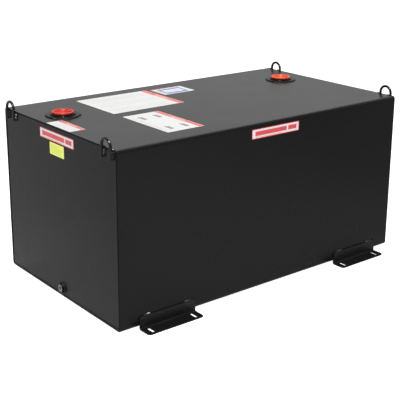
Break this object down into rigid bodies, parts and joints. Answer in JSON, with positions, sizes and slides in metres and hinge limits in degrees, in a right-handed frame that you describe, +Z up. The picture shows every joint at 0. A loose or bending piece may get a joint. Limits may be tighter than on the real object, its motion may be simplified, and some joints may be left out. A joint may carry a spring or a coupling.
{
  "type": "truck bed transfer tank",
  "caption": "Rectangular welded steel tank for a pickup bed, with two plugged ports on its roof, a low drain, corner lift loops and slotted mounting angles.",
  "frame": {"origin": "middle of the footprint, on the bed that the tank stands on", "axes": "+X along the tank to its right end, -Y towards the front wall, +Z up"},
  "size_m": [1.2392, 0.799, 0.623],
  "materials": {
    "black_paint": "satin to gloss black powder coat over folded sheet steel",
    "weld_paint": "black powder coat over weld beads",
    "red_plastic": "moulded red plastic",
    "orange_plastic": "moulded orange-red plastic",
    "gasket_rubber": "black rubber",
    "bare_steel": "bright zinc-plated steel",
    "white_label": "stuck-on vinyl label, plain",
    "yellow_label": "stuck-on vinyl label, plain yellow"
  },
  "bodies": {
    "tank": {"shell": "black_paint", "seam_weld": "weld_paint", "left_head": "black_paint", "right_head": "black_paint", "left_head_weld": "weld_paint", "right_head_weld": "weld_paint", "left_baffle": "black_paint", "right_baffle": "black_paint", "fill_flange": "black_paint", "vent_flange": "black_paint", "fill_flange_weld": "weld_paint", "vent_flange_weld": "weld_paint", "drain_boss": "black_paint", "drain_boss_weld": "weld_paint", "front_left_loop": "black_paint", "front_right_loop": "black_paint", "back_left_loop": "black_paint", "back_right_loop": "black_paint", "left_loop_welds": "weld_paint", "right_loop_welds": "weld_paint", "front_left_angle": "black_paint", "front_right_angle": "black_paint", "back_left_angle": "black_paint", "back_right_angle": "black_paint", "front_angle_welds": "weld_paint", "back_angle_welds": "weld_paint", "front_label": "white_label", "end_label": "white_label", "yellow_label": "yellow_label", "roof_edge_label": "white_label", "roof_large_label": "white_label", "roof_middle_label": "white_label", "roof_back_label": "white_label"},
    "fill_plug": {"fill_plug": "red_plastic", "fill_gasket": "gasket_rubber"},
    "vent_plug": {"vent_plug": "orange_plastic", "vent_gasket": "gasket_rubber"},
    "drain_plug": {"drain_plug": "bare_steel"}
  },
  "joints": [
    {"name": "fill_plug_lift", "type": "slide", "parent": "tank", "child": "fill_plug", "axis": [0, 0, 1], "range_m": [0, 0.1]},
    {"name": "vent_plug_lift", "type": "slide", "parent": "tank", "child": "vent_plug", "axis": [0, 0, 1], "range_m": [0, 0.1]},
    {"name": "drain_plug_pull", "type": "slide", "parent": "tank", "child": "drain_plug", "axis": [-1, 0, 0], "range_m": [0, 0.03]}
  ]
}
